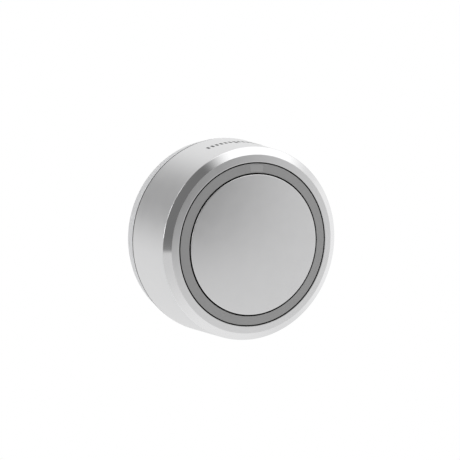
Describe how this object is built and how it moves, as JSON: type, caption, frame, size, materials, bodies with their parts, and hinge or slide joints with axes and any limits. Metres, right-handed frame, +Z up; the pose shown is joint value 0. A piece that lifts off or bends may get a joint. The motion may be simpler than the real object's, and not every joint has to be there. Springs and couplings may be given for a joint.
{
  "type": "push button",
  "caption": "Round surface-mounted push button: domed metal button in a smoked light ring, in a bevelled metal housing that twists off a wall plate.",
  "frame": {"origin": "centre of the wall plate's back face, on the wall", "axes": "+Y into the wall, +Z up the wall, +X to the right as the button is faced"},
  "size_m": [0.0678, 0.0329, 0.0678],
  "materials": {
    "housing_metal": "satin",
    "button_metal": "satin",
    "ring_plastic": "satin",
    "plate_plastic": "satin",
    "white_plastic": "matte",
    "black_plastic": "satin",
    "clear_plastic": "gloss",
    "board": "satin",
    "rubber": "matte",
    "foam": "matte",
    "steel": "satin",
    "copper": "satin",
    "cell_jacket": "gloss"
  },
  "bodies": {
    "wall_plate": {"wall_plate": "plate_plastic", "adhesive_pad_right": "foam", "adhesive_pad_left": "foam"},
    "housing": {"front_housing": "housing_metal", "light_ring": "ring_plastic", "light_guide": "clear_plastic", "inner_frame": "white_plastic", "circuit_board": "board", "tactile_switch": "black_plastic", "radio_module": "steel", "microcontroller": "black_plastic", "crystal": "steel", "capacitor": "cell_jacket", "antenna_coil": "copper", "pairing_switch": "black_plastic", "rear_chassis": "black_plastic", "front_seal": "rubber", "rear_seal": "rubber", "battery_1": "cell_jacket", "battery_2": "cell_jacket", "bridge_contact": "steel", "positive_contact": "steel", "negative_contact": "steel", "bridge_spring": "steel", "negative_spring": "steel", "return_spring": "steel", "led_1": "white_plastic", "led_2": "white_plastic", "led_3": "white_plastic", "led_4": "white_plastic", "led_5": "white_plastic", "led_6": "white_plastic", "chassis_screw_1": "steel", "chassis_screw_2": "steel", "chassis_screw_3": "steel"},
    "button": {"button_cap": "button_metal", "button_carrier": "white_plastic"},
    "switch_plunger": {"switch_plunger": "white_plastic"},
    "pairing_button": {"pairing_button": "white_plastic", "pairing_plunger": "black_plastic"}
  },
  "joints": [
    {"name": "housing_twist", "type": "hinge", "parent": "wall_plate", "child": "housing", "pos_m": [0, 0, 0], "axis": [0, -1, 0], "range_deg": [0, 20]},
    {"name": "button_press", "type": "slide", "parent": "housing", "child": "button", "axis": [0, 1, 0], "range_m": [0, 0.0008], "stiffness_N_per_m": 1500, "springref_m": -0.001, "deforming": ["return_spring"]},
    {"name": "switch_press", "type": "slide", "parent": "housing", "child": "switch_plunger", "axis": [0, 1, 0], "range_m": [0, 0.0008]},
    {"name": "pairing_press", "type": "slide", "parent": "housing", "child": "pairing_button", "axis": [0, -1, 0], "range_m": [0, 0.0003], "stiffness_N_per_m": 500, "springref_m": -0.0005}
  ],
  "couplings": [
    {"joint": "switch_press", "follows": "button_press", "ratio": 1}
  ]
}
